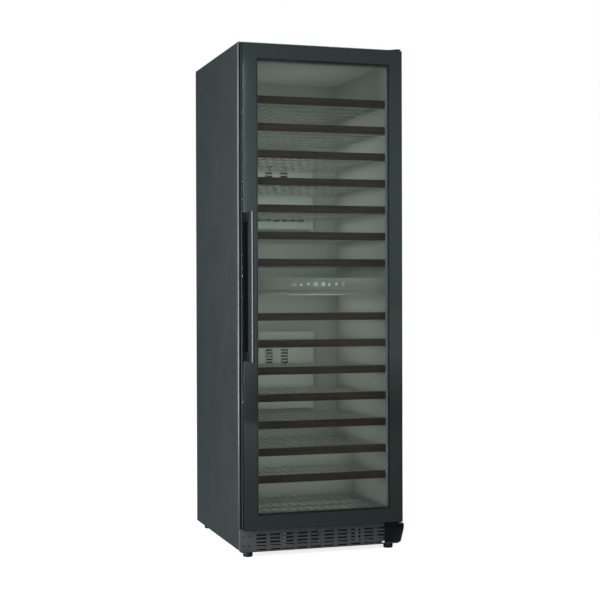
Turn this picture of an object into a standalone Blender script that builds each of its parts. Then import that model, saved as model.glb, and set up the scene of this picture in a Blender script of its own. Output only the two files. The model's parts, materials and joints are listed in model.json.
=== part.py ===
"""Dual-zone wine cooler, in metres. Front faces -Y, +Z is up, the floor is z = 0."""

import math

import bmesh
import bpy
from mathutils import Matrix, Vector

# ---------------------------------------------------------------- driving dimensions
WIDTH = 0.595
DEPTH = 0.680  # door front to back, without the handle
HEIGHT = 1.778  # floor to cabinet top
HANDLE_REACH = 0.050
GAP = 0.0003  # clearance between neighbouring pieces
PAST = 0.05  # how far a cutter runs past the wall it cuts

HALF = WIDTH / 2
BACK_Y = (DEPTH + HANDLE_REACH) / 2
DOOR_Y = BACK_Y - DEPTH
CABINET_Y = DOOR_Y + 0.045

# cabinet
SHEET = 0.001
SHELL_BOTTOM = 0.026
LINER_HALF = 0.2585
LINER_WALL = 0.0015
LINER_FLOOR = 0.125
LINER_CEILING = 1.730
LINER_BACK = 0.315
LINER_SKIN = LINER_WALL + GAP
STEP_Y = 0.105  # front face of the liner's step over the machine compartment
STEP_TOP = 0.305
FOAM_BOTTOM = 0.088
MACHINE_Y = 0.135
MACHINE_TOP = 0.270
INSIDE_HALF = HALF - SHEET - GAP  # half the room between the shell's sides

# door
DOOR_HALF = 0.292
DOOR_BOTTOM = 0.100
DOOR_TOP = 1.766
DOOR_THICK = 0.040
PANE = 0.004
FRAME_INSET = 0.0013
OPENING_HALF = 0.2385
OPENING_BOTTOM = 0.156
OPENING_TOP = 1.708
REBATE = 0.008
FRAME_BACK_Y = DOOR_Y + DOOR_THICK
REBATE_Y = FRAME_BACK_Y - 0.0145
PIN_X = 0.283
PIN_Y = DOOR_Y + 0.020
PIN_R = 0.004
PIN_BORE_R = 0.00408
PIN_DEEP = 0.018
SEAL_OUTER = 0.277  # half width of the gasket ring
SEAL_WIDE = 0.013
SEAL_BOTTOM = 0.1035
SEAL_TOP = 1.7510

# handle
HANDLE_X = -0.2725
HANDLE_WIDE = 0.018
HANDLE_DEEP = 0.015
HANDLE_LOW = 0.677
HANDLE_HIGH = 1.189
STANDOFF_TALL = 0.034

# shelves
SHELF_PITCH = 0.0945
UPPER_LOWEST = 1.0185  # centre height of the upper zone's lowest shelf front
LOWER_LOWEST = 0.262
PER_ZONE = 7
FASCIA_TALL = 0.0265
FASCIA_THICK = 0.018
FASCIA_HALF = 0.255
FASCIA_Y = DOOR_Y + 0.068
RACK_HALF = 0.2548
RACK_BACK_Y = 0.265
SHORT_RACK_BACK_Y = 0.095
RACK_UNDER = 0.011  # rack underside below the front's centre
RACK_THICK = 0.010
RAIL_WIDE = 0.008
BAR = 0.005  # cross bars under the wires
WIRE = 0.0045
WIRES = 5
LEDGE_REACH = 0.008
LEDGE_THICK = 0.005
BOTTOM_RACK_TOP = 0.150

# control panel and divider
PANEL_LOW = 0.920
PANEL_HIGH = 0.966
SKIRT_LOW = 0.906
PANEL_Y = -0.245
PANEL_BACK_Y = -0.215
DIVIDER_LOW = 0.918
DIVIDER_HIGH = 0.962

# evaporator covers
COVER_HALF = 0.150
COVER_Y = 0.270
COVER_WALL = 0.002
COVER_TALL = 0.300
UPPER_COVER_LOW = 1.160
LOWER_COVER_LOW = 0.460
EVAP_FAN_R = 0.045

# kick plate
KICK_Y = DOOR_Y + 0.036
KICK_SHEET = 0.0015
KICK_LOW = 0.018
KICK_HIGH = 0.0972
SLOT_COLUMNS = 10
SLOT_ROWS = 5
SLOT_FIRST_X = -0.2185
SLOT_PITCH_X = 0.0494
SLOT_WIDE = 0.037
SLOT_TOP_Z = 0.0762
SLOT_PITCH_Z = 0.0124
SLOT_TALL = 0.0056

# feet
FOOT_X = 0.260
FOOT_FRONT_Y = DOOR_Y + 0.064
FOOT_REAR_Y = 0.325
FOOT_R = 0.017
STEM_R = 0.005
STEM_BORE_R = 0.0051

# machine compartment
COMPRESSOR_AT = (0.150, 0.245)
COMPRESSOR_R = 0.068
CONDENSER_AT = (-0.215, 0.222)

SEGMENTS = 32


# ---------------------------------------------------------------- helpers
def clear_scene():
    for obj in list(bpy.data.objects):
        bpy.data.objects.remove(obj, do_unlink=True)


def material(name, colour, roughness, metallic=0.0):
    made = bpy.data.materials.new(name)
    made.use_nodes = True
    shader = made.node_tree.nodes["Principled BSDF"]
    shader.inputs["Base Color"].default_value = (*colour, 1.0)
    shader.inputs["Roughness"].default_value = roughness
    shader.inputs["Metallic"].default_value = metallic
    return made


def make_materials():
    return {
        "paint": material("anthracite_paint", (0.045, 0.052, 0.055), 0.40),
        "black": material("black_plastic", (0.012, 0.012, 0.013), 0.45),
        "liner": material("liner_plastic", (0.10, 0.11, 0.10), 0.50),
        "glass": material("tinted_glass", (0.20, 0.22, 0.20), 0.05),
        "rubber": material("rubber", (0.010, 0.010, 0.010), 0.80),
        "wood": material("stained_wood", (0.035, 0.020, 0.014), 0.55),
        "foam": material("foam", (0.62, 0.52, 0.26), 0.90),
        "steel": material("steel", (0.45, 0.45, 0.46), 0.35, 1.0),
        "aluminium": material("aluminium", (0.62, 0.62, 0.63), 0.40, 1.0),
        "lamp": material("lamp_lens", (0.85, 0.88, 0.92), 0.30),
    }


def add_mesh(name, bm, look=None, origin=(0.0, 0.0, 0.0)):
    """An object from a bmesh in world coordinates, with its origin moved to `origin`."""
    bmesh.ops.recalc_face_normals(bm, faces=bm.faces)
    bmesh.ops.translate(bm, verts=bm.verts, vec=-Vector(origin))
    mesh = bpy.data.meshes.new(name)
    bm.to_mesh(mesh)
    bm.free()
    obj = bpy.data.objects.new(name, mesh)
    obj.location = origin
    if look:
        mesh.materials.append(look)
    bpy.context.scene.collection.objects.link(obj)
    return obj


def box(x0, x1, y0, y1, z0, z1):
    return ((x0, y0, z0), (x1, y1, z1))


def mirrored(x0, x1, y0, y1, z0, z1):
    """The same box on the left and on the right."""
    return [box(x0, x1, y0, y1, z0, z1), box(-x1, -x0, y0, y1, z0, z1)]


def filled_cells(steps, cuts):
    """The cells between the cutting planes that are solid after each step is added or removed in turn."""
    solid = set()
    for adds, (low, high) in steps:
        ranges = []
        for axis in range(3):
            plane = cuts[axis]
            span = [
                i
                for i in range(len(plane) - 1)
                if low[axis] < (plane[i] + plane[i + 1]) / 2 < high[axis]
            ]
            ranges.append(span)
        cells = {(i, j, k) for i in ranges[0] for j in ranges[1] for k in ranges[2]}
        solid = solid | cells if adds else solid - cells
    return solid


def blocks_bmesh(steps):
    """A closed mesh from boxes: each step is (True, box) to add or (False, box) to cut."""
    cuts = [sorted({round(corner[axis], 7) for _, b in steps for corner in b}) for axis in range(3)]
    solid = filled_cells(steps, cuts)
    bm = bmesh.new()
    verts = {}

    def vert(key):
        if key not in verts:
            verts[key] = bm.verts.new([cuts[axis][key[axis]] for axis in range(3)])
        return verts[key]

    for cell in solid:
        for axis in range(3):
            for side in (0, 1):
                neighbour = list(cell)
                neighbour[axis] += 2 * side - 1
                if tuple(neighbour) in solid:
                    continue
                corners = []
                for u, v in ((0, 0), (1, 0), (1, 1), (0, 1)):
                    key = list(cell)
                    key[axis] += side
                    key[(axis + 1) % 3] += u
                    key[(axis + 2) % 3] += v
                    corners.append(vert(tuple(key)))
                bm.faces.new(corners if side else corners[::-1])
    bmesh.ops.dissolve_limit(
        bm, angle_limit=math.radians(1), verts=bm.verts, edges=bm.edges, use_dissolve_boundaries=False
    )
    return bm


def blocks(name, steps, look=None, origin=(0.0, 0.0, 0.0)):
    return add_mesh(name, blocks_bmesh(steps), look, origin)


def prism(name, outline, axis, low, high, look=None):
    """A flat outline pulled along `axis` ("x", "y" or "z") from low to high."""
    place = {
        "x": lambda u, v, w: (w, u, v),
        "y": lambda u, v, w: (u, w, v),
        "z": lambda u, v, w: (u, v, w),
    }[axis]
    bm = bmesh.new()
    near = [bm.verts.new(place(u, v, low)) for u, v in outline]
    far = [bm.verts.new(place(u, v, high)) for u, v in outline]
    bm.faces.new(near)
    bm.faces.new(far)
    for i in range(len(outline)):
        j = (i + 1) % len(outline)
        bm.faces.new((near[i], near[j], far[j], far[i]))
    return add_mesh(name, bm, look)


def turned(name, profile, look=None, at=(0.0, 0.0, 0.0), axis="z", segments=SEGMENTS):
    """A solid of revolution from (radius, height) points, one end to the other; a radius of 0 is a pole."""
    bm = bmesh.new()
    rings = []
    for radius, height in profile:
        if radius == 0:
            rings.append([bm.verts.new((0, 0, height))])
            continue
        angles = [2 * math.pi * i / segments for i in range(segments)]
        rings.append([bm.verts.new((radius * math.cos(a), radius * math.sin(a), height)) for a in angles])
    for low, high in zip(rings, rings[1:]):
        for i in range(segments):
            j = (i + 1) % segments
            corners = [low[i % len(low)], low[j % len(low)]]
            corners += [high[j % len(high)], high[i % len(high)]]
            bm.faces.new(list(dict.fromkeys(corners)))
    for ring in (rings[0], rings[-1]):
        if len(ring) > 1:
            bm.faces.new(ring)
    turn = {
        "z": Matrix.Identity(4),
        "x": Matrix.Rotation(math.pi / 2, 4, "Y"),
        "y": Matrix.Rotation(-math.pi / 2, 4, "X"),
    }[axis]
    bmesh.ops.transform(bm, matrix=Matrix.Translation(at) @ turn, verts=bm.verts)
    obj = add_mesh(name, bm, look, at)
    for face in obj.data.polygons:
        face.use_smooth = True
    return obj


def rod(name, radius, low, high, at=(0.0, 0.0, 0.0), axis="z", look=None, segments=SEGMENTS):
    return turned(name, [(radius, low), (radius, high)], look, at, axis, segments)


def combine(obj, helper, operation):
    """Joins or cuts `obj` by `helper`, which doesn't show as a piece itself."""
    helper.hide_render = True
    helper.display_type = "WIRE"
    modifier = obj.modifiers.new(helper.name, "BOOLEAN")
    modifier.operation = operation
    modifier.solver = "EXACT"
    modifier.object = helper
    return obj


def join(obj, helper):
    return combine(obj, helper, "UNION")


def cut(obj, helper):
    return combine(obj, helper, "DIFFERENCE")


def soften(obj, width, segments=2, angle=40):
    modifier = obj.modifiers.new("soften", "BEVEL")
    modifier.width = width
    modifier.segments = segments
    modifier.limit_method = "ANGLE"
    modifier.angle_limit = math.radians(angle)
    return obj


# ---------------------------------------------------------------- cabinet
def build_shell(looks):
    """Painted steel wrapper: sides, top and a folded face that the door's gasket seals on."""
    fold = LINER_HALF + LINER_SKIN
    fold_bottom = LINER_FLOOR - LINER_SKIN
    folded = CABINET_Y + SHEET
    blocks("cabinet_shell", [
        (True, box(-HALF, HALF, CABINET_Y, BACK_Y, SHELL_BOTTOM, HEIGHT)),
        (False, box(-HALF + SHEET, HALF - SHEET, folded, BACK_Y + PAST, -PAST, HEIGHT - SHEET)),
        (False, box(-fold, fold, CABINET_Y - PAST, folded, fold_bottom, LINER_CEILING + LINER_SKIN)),
        (False, box(-HALF + 0.020, HALF - 0.020, CABINET_Y - PAST, folded, -PAST, FOAM_BOTTOM)),
    ], looks["paint"])


def build_back_panel(looks):
    """Steel back with ventilation slots behind the machine compartment and an opening for the inlet."""
    top = HEIGHT - SHEET - GAP
    steps = [(True, box(-INSIDE_HALF, INSIDE_HALF, BACK_Y - SHEET, BACK_Y, SHELL_BOTTOM + 0.004, top))]
    for row in range(6):
        low = 0.125 + 0.020 * row
        for column in range(4):
            left = -0.205 + 0.108 * column
            steps.append((False, box(left, left + 0.086, BACK_Y - PAST, BACK_Y + PAST, low, low + 0.007)))
    steps.append((False, box(-0.2435, -0.2065, BACK_Y - PAST, BACK_Y + PAST, 0.0600, 0.0900)))
    blocks("back_panel", steps, looks["paint"])


def build_insulation(looks):
    """Foam between the shell and the liner, stepped over the machine compartment."""
    room = LINER_HALF + LINER_SKIN
    skin = SHEET + GAP
    floor, ceiling = LINER_FLOOR - LINER_SKIN, LINER_CEILING + LINER_SKIN
    rear = LINER_BACK + LINER_SKIN
    blocks("insulation", [
        (True, box(-INSIDE_HALF, INSIDE_HALF, CABINET_Y + skin, BACK_Y - skin, FOAM_BOTTOM, HEIGHT - skin)),
        (False, box(-room, room, CABINET_Y - PAST, rear, floor, ceiling)),
        (True, box(-room, room, STEP_Y + LINER_SKIN, rear, floor, STEP_TOP - LINER_SKIN)),
        (False, box(-HALF, HALF, MACHINE_Y, BACK_Y + PAST, -PAST, MACHINE_TOP)),
    ], looks["foam"])


def shelf_heights():
    """Centre height of each shelf front, from the top shelf down."""
    upper = [UPPER_LOWEST + SHELF_PITCH * i for i in reversed(range(PER_ZONE))]
    lower = [LOWER_LOWEST + SHELF_PITCH * i for i in reversed(range(PER_ZONE))]
    return upper + lower


def rack_back(centre):
    """A shelf beside the step is short."""
    return SHORT_RACK_BACK_Y if centre - RACK_UNDER < STEP_TOP else RACK_BACK_Y


def build_liner(looks):
    """Moulded lining with a ledge under each end of every shelf."""
    outer = LINER_HALF + LINER_WALL
    floor, ceiling = LINER_FLOOR - LINER_WALL, LINER_CEILING + LINER_WALL
    steps = [
        (True, box(-outer, outer, CABINET_Y, LINER_BACK + LINER_WALL, floor, ceiling)),
        (False, box(-LINER_HALF, LINER_HALF, CABINET_Y - PAST, LINER_BACK, LINER_FLOOR, LINER_CEILING)),
        (False, box(-HALF, HALF, STEP_Y + LINER_WALL, BACK_Y, 0.0, STEP_TOP - LINER_WALL)),
        (True, box(-outer, outer, STEP_Y, STEP_Y + LINER_WALL, floor, STEP_TOP)),
        (True, box(-outer, outer, STEP_Y, LINER_BACK + LINER_WALL, STEP_TOP - LINER_WALL, STEP_TOP)),
    ]
    for centre in shelf_heights():
        top = centre - RACK_UNDER - GAP
        front, back = FASCIA_Y + FASCIA_THICK, rack_back(centre)
        ledges = mirrored(LINER_HALF - LEDGE_REACH, LINER_HALF, front, back, top - LEDGE_THICK, top)
        steps += [(True, ledge) for ledge in ledges]
    blocks("inner_liner", steps, looks["liner"])


def build_divider(looks):
    edge = LINER_HALF - GAP
    blocks("zone_divider", [
        (True, box(-edge, edge, PANEL_BACK_Y + GAP, LINER_BACK - GAP, DIVIDER_LOW, DIVIDER_HIGH)),
    ], looks["liner"])


def build_control_panel(looks):
    """Cross panel with an upright face and a set-back skirt, and the lamp under the skirt."""
    edge = LINER_HALF - GAP
    recess = SKIRT_LOW + 0.004
    blocks("control_panel", [
        (True, box(-edge, edge, PANEL_Y, PANEL_BACK_Y, PANEL_LOW, PANEL_HIGH)),
        (True, box(-edge, edge, PANEL_Y + 0.006, PANEL_BACK_Y, SKIRT_LOW, PANEL_LOW)),
        (False, box(-0.102, 0.102, PANEL_Y + 0.009, PANEL_BACK_Y - 0.003, SKIRT_LOW - PAST, recess)),
    ], looks["black"])
    blocks("lower_lamp", [
        (True, box(-0.100, 0.100, PANEL_Y + 0.010, PANEL_BACK_Y - 0.004, SKIRT_LOW - 0.001, recess - GAP)),
    ], looks["lamp"])


# ---------------------------------------------------------------- cooling of the two zones
def fan_rotor(name, at, axis, radius, hub_r, deep, bore_r, look, blades=5):
    """A bored hub with slanted blades, turning about `axis` through `at`."""
    fan = rod(name, hub_r, -deep / 2, deep / 2, at, axis, look, segments=24)
    to_axis = {"y": Matrix.Rotation(-math.pi / 2, 4, "X"), "x": Matrix.Rotation(math.pi / 2, 4, "Y")}[axis]
    for i in range(blades):
        bm = bmesh.new()
        bmesh.ops.create_cube(bm, size=1.0)
        reach = radius - 0.6 * hub_r
        bmesh.ops.scale(bm, vec=(reach, radius * 0.5, 0.0016), verts=bm.verts)
        bmesh.ops.rotate(bm, matrix=Matrix.Rotation(math.radians(22), 3, "X"), verts=bm.verts)
        bmesh.ops.translate(bm, vec=(0.6 * hub_r + reach / 2, 0, 0), verts=bm.verts)
        spin = Matrix.Rotation(2 * math.pi * i / blades, 4, "Z")
        bmesh.ops.transform(bm, matrix=Matrix.Translation(at) @ to_axis @ spin, verts=bm.verts)
        join(fan, add_mesh(f"{name}_blade_{i}_tool", bm))
    cut(fan, rod(f"{name}_bore_tool", bore_r, -PAST, PAST, at, axis, segments=16))
    return fan


def build_evaporator_cover(name, low, looks):
    """Open-backed cover with intake slots, and a grille round the boss that carries the fan's shaft."""
    high = low + COVER_TALL
    fan_z = low + 0.205
    back = LINER_BACK - GAP
    inside = COVER_HALF - COVER_WALL
    face = COVER_Y + COVER_WALL
    steps = [
        (True, box(-COVER_HALF, COVER_HALF, COVER_Y, back, low, high)),
        (False, box(-inside, inside, face, back + PAST, low + COVER_WALL, high - COVER_WALL)),
    ]
    for row in range(-3, 4):
        z = fan_z + 0.012 * row
        for left, right in ((-0.046, -0.016), (0.016, 0.046)):
            steps.append((False, box(left, right, COVER_Y - PAST, face, z - 0.003, z + 0.003)))
    for column in range(7):
        left = -0.112 + 0.033 * column
        steps.append((False, box(left, left + 0.026, COVER_Y - PAST, face, low + 0.030, low + 0.038)))
    cover = blocks(name, steps, looks["liner"])
    boss = [(0.013, 0.001), (0.013, 0.0055), (0.003, 0.0055), (0.003, 0.0200)]
    join(cover, turned(f"{name}_boss_tool", boss, None, (0.0, COVER_Y, fan_z), "y", 16))
    return fan_z


def build_evaporator(name, low, looks):
    """Finned aluminium block on the liner's back wall."""
    front, back = COVER_Y + 0.0235, LINER_BACK - 2 * GAP
    bottom, top = low + 0.020, low + COVER_TALL - 0.020
    steps = [(True, box(-0.125, 0.125, front, back, bottom, top))]
    for groove in range(12):
        left = -0.119 + 0.020 * groove
        groove_box = box(left, left + 0.018, front - PAST, back - 0.005, bottom - PAST, top + PAST)
        steps.append((False, groove_box))
    blocks(name, steps, looks["aluminium"])


def build_zone_cooling(looks):
    for zone, low in (("upper", UPPER_COVER_LOW), ("lower", LOWER_COVER_LOW)):
        fan_z = build_evaporator_cover(f"{zone}_fan_cover", low, looks)
        build_evaporator(f"{zone}_evaporator", low, looks)
        at = (0.0, COVER_Y + 0.0125, fan_z)
        fan_rotor(f"{zone}_fan", at, "y", EVAP_FAN_R, 0.012, 0.011, 0.0031, looks["black"])


# ---------------------------------------------------------------- machine compartment and base
def foot_places():
    return {
        "front_left": (-FOOT_X, FOOT_FRONT_Y),
        "front_right": (FOOT_X, FOOT_FRONT_Y),
        "rear_left": (-FOOT_X, FOOT_REAR_Y),
        "rear_right": (FOOT_X, FOOT_REAR_Y),
    }


def build_base_tray(looks):
    """Folded steel base: an upright front with air openings, low edges, and bored pads for the feet."""
    low = SHELL_BOTTOM + 0.0002
    back = BACK_Y - SHEET - GAP
    front = CABINET_Y + SHEET + GAP
    inside = INSIDE_HALF - SHEET
    steps = [
        (True, box(-INSIDE_HALF, INSIDE_HALF, front, back, low, FOAM_BOTTOM - GAP)),
        (False, box(-inside, inside, front + SHEET, back - SHEET, low + SHEET, HEIGHT)),
        (False, box(-HALF, HALF, MACHINE_Y - 0.010, BACK_Y + PAST, low + 0.022, HEIGHT)),
        (False, box(-HALF, HALF, front + SHEET, BACK_Y + PAST, low + 0.030, HEIGHT)),
    ]
    for window in range(4):
        left = -0.262 + 0.134 * window
        air = box(left, left + 0.122, front - PAST, front + SHEET, low + 0.010, FOAM_BOTTOM - 0.008)
        steps.append((False, air))
    for x, y in foot_places().values():
        pad_front = y - 0.015 if y > 0 else front
        steps.append((True, box(x - 0.015, x + 0.015, pad_front, y + 0.015, low, low + 0.010)))
    tray = blocks("base_tray", steps, looks["steel"])
    for place, (x, y) in foot_places().items():
        cut(tray, rod(f"foot_{place}_bore_tool", STEM_BORE_R, 0.0, 0.080, (x, y, 0.0), "z"))


def build_feet(looks):
    """Levelling feet: a rounded pad under a stem that turns in the base."""
    profile = [
        (0.0145, 0.0),
        (FOOT_R, 0.0025),
        (FOOT_R, 0.0120),
        (0.0150, 0.0165),
        (0.0065, 0.0172),
        (0.0065, 0.0235),
        (STEM_R, 0.0235),
        (STEM_R, 0.0460),
    ]
    for place, (x, y) in foot_places().items():
        turned(f"foot_{place}", profile, looks["rubber"], (x, y, 0.0))


def build_compressor(looks):
    """Domed hermetic compressor on a square base plate with corner grommets' pads."""
    x, y = COMPRESSOR_AT
    floor = SHELL_BOTTOM + 0.0002 + SHEET + GAP
    radius = COMPRESSOR_R
    profile = [
        (radius * 0.80, floor + 0.004),
        (radius * 0.97, floor + 0.016),
        (radius * 0.97, floor + 0.080),
        (radius, floor + 0.082),
        (radius, floor + 0.092),
        (radius * 0.97, floor + 0.094),
        (radius * 0.95, floor + 0.130),
        (radius * 0.80, floor + 0.152),
        (radius * 0.45, floor + 0.164),
        (0.0, floor + 0.168),
    ]
    plate = blocks("compressor", [
        (True, box(x - 0.078, x + 0.078, y - 0.060, y + 0.060, floor, floor + 0.006)),
    ], looks["black"], (x, y, floor))
    join(plate, turned("compressor_can_tool", profile, None, (x, y, 0.0), "z", 28))
    relay = box(x - 0.030, x + 0.030, y - 0.088, y - 0.050, floor + 0.040, floor + 0.080)
    join(plate, box_tool("compressor_relay_tool", relay))


def box_tool(name, limits):
    return blocks(name, [(True, limits)])


def build_condenser(looks):
    """Finned condenser with a shroud round its fan, and the strut and boss that carry the fan's shaft."""
    x, y = CONDENSER_AT
    floor = SHELL_BOTTOM + 0.0002 + SHEET + GAP
    top = floor + 0.190
    fan_z = floor + 0.095
    steps = [(True, box(x - 0.055, x + 0.005, y - 0.085, y + 0.085, floor + 0.004, top))]
    for groove in range(11):
        left = y - 0.080 + 0.0150 * groove
        groove_box = box(x - 0.055 - PAST, x - 0.005, left, left + 0.0125, floor + 0.010, top - 0.006)
        steps.append((False, groove_box))
    steps += [
        (True, box(x + 0.005, x + 0.045, y - 0.085, y + 0.085, floor + 0.004, top)),
        (False, box(x + 0.007, x + 0.045 + PAST, y - 0.083, y + 0.083, floor + 0.006, top - 0.002)),
        (True, box(x + 0.041, x + 0.045, y - 0.008, y + 0.008, floor + 0.004, top)),
        (True, box(x - 0.055, x + 0.045, y - 0.085, y + 0.085, floor, floor + 0.004)),
    ]
    body = blocks("condenser", steps, looks["steel"])
    at = (x + 0.043, y, fan_z)
    join(body, rod("condenser_motor_tool", 0.022, -0.006, 0.004, at, "x", segments=24))
    join(body, rod("condenser_shaft_tool", 0.0035, -0.026, 0.0, at, "x", segments=16))
    fan_rotor("condenser_fan", (x + 0.026, y, fan_z), "x", 0.072, 0.018, 0.012, 0.0036, looks["black"])


def build_drain_pan(looks):
    """Open pan above the compressor, where the condensate dries off."""
    x, y = COMPRESSOR_AT
    low = SHELL_BOTTOM + 0.0002 + SHEET + GAP + 0.168 + GAP
    blocks("drain_pan", [
        (True, box(x - 0.090, x + 0.090, y - 0.075, y + 0.090, low, low + 0.028)),
        (False, box(x - 0.088, x + 0.088, y - 0.073, y + 0.088, low + 0.002, HEIGHT)),
    ], looks["liner"])


def build_power_inlet(looks):
    """Three-pole mains inlet, open to the back."""
    blocks("power_inlet", [
        (True, box(-0.2432, -0.2068, BACK_Y - 0.022, BACK_Y - 0.0002, 0.0603, 0.0897)),
        (False, box(-0.2375, -0.2125, BACK_Y - 0.018, BACK_Y + PAST, 0.0655, 0.0845)),
    ], looks["black"])


def build_kick_plate(looks):
    """Slotted plinth with returns at the left, right, top and bottom."""
    half = HALF - GAP
    inside = half - KICK_SHEET
    face = KICK_Y + KICK_SHEET
    back = CABINET_Y - GAP
    steps = [
        (True, box(-half, half, KICK_Y, back, KICK_LOW, KICK_HIGH)),
        (False, box(-inside, inside, face, back + PAST, KICK_LOW + KICK_SHEET, KICK_HIGH - KICK_SHEET)),
    ]
    for row in range(SLOT_ROWS):
        z = SLOT_TOP_Z - SLOT_PITCH_Z * row
        for column in range(SLOT_COLUMNS):
            left = SLOT_FIRST_X + SLOT_PITCH_X * column - SLOT_WIDE / 2
            low = z - SLOT_TALL / 2
            steps.append((False, box(left, left + SLOT_WIDE, KICK_Y - PAST, face, low, low + SLOT_TALL)))
    blocks("kick_plate", steps, looks["black"])


# ---------------------------------------------------------------- shelves
def build_rack(name, low, front, back, bars, looks):
    """Steel rack: two side rails, flat bars across and wires on top of them from front to back."""
    high = low + RACK_THICK
    rails = mirrored(RACK_HALF - RAIL_WIDE, RACK_HALF, front, back, low, high)
    steps = [(True, rail) for rail in rails]
    for i in range(bars):
        start = front + (back - front - BAR) * i / (bars - 1)
        steps.append((True, box(-RACK_HALF, RACK_HALF, start, start + BAR, low, low + BAR)))
    for i in range(WIRES):
        x = RACK_HALF * (2 * (i + 1) / (WIRES + 1) - 1)
        steps.append((True, box(x - WIRE / 2, x + WIRE / 2, front, back, low + BAR - GAP, high)))
    return blocks(name, steps, looks["steel"], (0.0, front, low))


def build_shelves(looks):
    for number, centre in enumerate(shelf_heights(), start=1):
        back = rack_back(centre)
        bars = 5 if back == RACK_BACK_Y else 4
        behind = FASCIA_Y + FASCIA_THICK
        build_rack(f"shelf_{number:02d}_rack", centre - RACK_UNDER, behind + GAP, back, bars, looks)
        low, high = centre - FASCIA_TALL / 2, centre + FASCIA_TALL / 2
        fascia = blocks(f"shelf_{number:02d}_fascia", [
            (True, box(-FASCIA_HALF, FASCIA_HALF, FASCIA_Y, behind, low, high)),
        ], looks["wood"], (0.0, FASCIA_Y, centre))
        soften(fascia, 0.0015, 1)


def build_bottom_rack(looks):
    """Fixed rack on legs that stand on the liner's floor, in front of the step."""
    low = BOTTOM_RACK_TOP - RACK_THICK
    front = FASCIA_Y + FASCIA_THICK
    rack = build_rack("bottom_rack", low, front, SHORT_RACK_BACK_Y, 4, looks)
    for side in (-1, 1):
        for i in range(4):
            y = front + (SHORT_RACK_BACK_Y - front - BAR) * i / 3
            x = side * (RACK_HALF - RAIL_WIDE / 2)
            leg = box(x - 0.003, x + 0.003, y, y + BAR, LINER_FLOOR + GAP, low + 0.002)
            join(rack, box_tool(f"bottom_rack_leg_{i}_{side}_tool", leg))


# ---------------------------------------------------------------- door
def build_door(looks):
    hinge = (PIN_X, PIN_Y, 0.0)
    pane_back = DOOR_Y + PANE
    blocks("door_glass", [
        (True, box(-DOOR_HALF, DOOR_HALF, DOOR_Y, pane_back, DOOR_BOTTOM, DOOR_TOP)),
    ], looks["glass"], hinge)

    frame_half = DOOR_HALF - FRAME_INSET
    low, high = DOOR_BOTTOM + FRAME_INSET, DOOR_TOP - FRAME_INSET
    wide = OPENING_HALF + REBATE
    rebate_low, rebate_high = OPENING_BOTTOM - REBATE, OPENING_TOP + REBATE
    frame = blocks("door_frame", [
        (True, box(-frame_half, frame_half, pane_back + GAP, FRAME_BACK_Y, low, high)),
        (False, box(-OPENING_HALF, OPENING_HALF, DOOR_Y - PAST, REBATE_Y, OPENING_BOTTOM, OPENING_TOP)),
        (False, box(-wide, wide, REBATE_Y, FRAME_BACK_Y + PAST, rebate_low, rebate_high)),
    ], looks["black"], hinge)
    cut(frame, rod("top_pin_bore_tool", PIN_BORE_R, high - PIN_DEEP, high + PAST, hinge))
    cut(frame, rod("bottom_pin_bore_tool", PIN_BORE_R, low - PAST, low + PIN_DEEP, hinge))

    pane_half = wide - GAP
    inner_y = REBATE_Y + GAP
    blocks("inner_glass", [
        (True, box(-pane_half, pane_half, inner_y, inner_y + PANE, rebate_low + GAP, rebate_high - GAP)),
    ], looks["glass"], hinge)

    seal_inner = SEAL_OUTER - SEAL_WIDE
    blocks("door_gasket", [
        (True, box(-SEAL_OUTER, SEAL_OUTER, FRAME_BACK_Y + GAP, CABINET_Y - GAP, SEAL_BOTTOM, SEAL_TOP)),
        (False, box(-seal_inner, seal_inner, DOOR_Y, 0.0, SEAL_BOTTOM + SEAL_WIDE, SEAL_TOP - SEAL_WIDE)),
    ], looks["rubber"], hinge)


def build_handle(looks):
    """Flat bar on two block stand-offs."""
    left, right = HANDLE_X - HANDLE_WIDE / 2, HANDLE_X + HANDLE_WIDE / 2
    front = DOOR_Y - HANDLE_REACH
    grip_low, grip_high = HANDLE_LOW + STANDOFF_TALL, HANDLE_HIGH - STANDOFF_TALL
    handle = blocks("handle", [
        (True, box(left, right, front, DOOR_Y - GAP, HANDLE_LOW, HANDLE_HIGH)),
        (False, box(left - PAST, right + PAST, front + HANDLE_DEEP, DOOR_Y, grip_low, grip_high)),
    ], looks["black"], (PIN_X, PIN_Y, 0.0))
    soften(handle, 0.002, 2)


def build_hinges(looks):
    """Top bracket and bottom bracket, both on the cabinet's front, each with a pin that enters the door."""
    edge = HALF - GAP
    forward = DOOR_Y + 0.003
    arm_low, arm_high = DOOR_TOP + 0.0040, DOOR_TOP + 0.0075
    mount_y = CABINET_Y - GAP
    top = prism("top_hinge", [
        (0.2925, mount_y),
        (0.2400, mount_y),
        (0.2400, DOOR_Y + 0.0410),
        (0.2760, PIN_Y - 0.0105),
        (0.2885, PIN_Y - 0.0115),
        (0.2925, PIN_Y - 0.0075),
    ], "z", arm_low, arm_high, looks["black"])
    flange = box(0.2400, 0.2925, mount_y - 0.0020, mount_y, DOOR_TOP - 0.0120, arm_high)
    join(top, box_tool("top_flange_tool", flange))
    join(top, rod("top_pin_tool", PIN_R, DOOR_TOP - 0.014, arm_high - 0.001, (PIN_X, PIN_Y, 0.0)))

    plate_back = KICK_Y - GAP
    plate_front = plate_back - 0.0025
    bottom = blocks("bottom_hinge", [
        (True, box(0.236, edge, plate_front, plate_back, 0.024, 0.0945)),
        (True, box(0.236, edge, forward, plate_back, 0.0912, 0.0945)),
    ], looks["black"])
    join(bottom, prism("gusset_tool", [
        (forward, 0.0930),
        (plate_back - 0.001, 0.0930),
        (plate_back - 0.001, 0.0260),
        (plate_back - 0.004, 0.0260),
        (forward, 0.0780),
    ], "x", edge - 0.003, edge))
    join(bottom, rod("bottom_pin_tool", PIN_R, 0.0930, DOOR_BOTTOM + 0.015, (PIN_X, PIN_Y, 0.0)))


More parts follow.
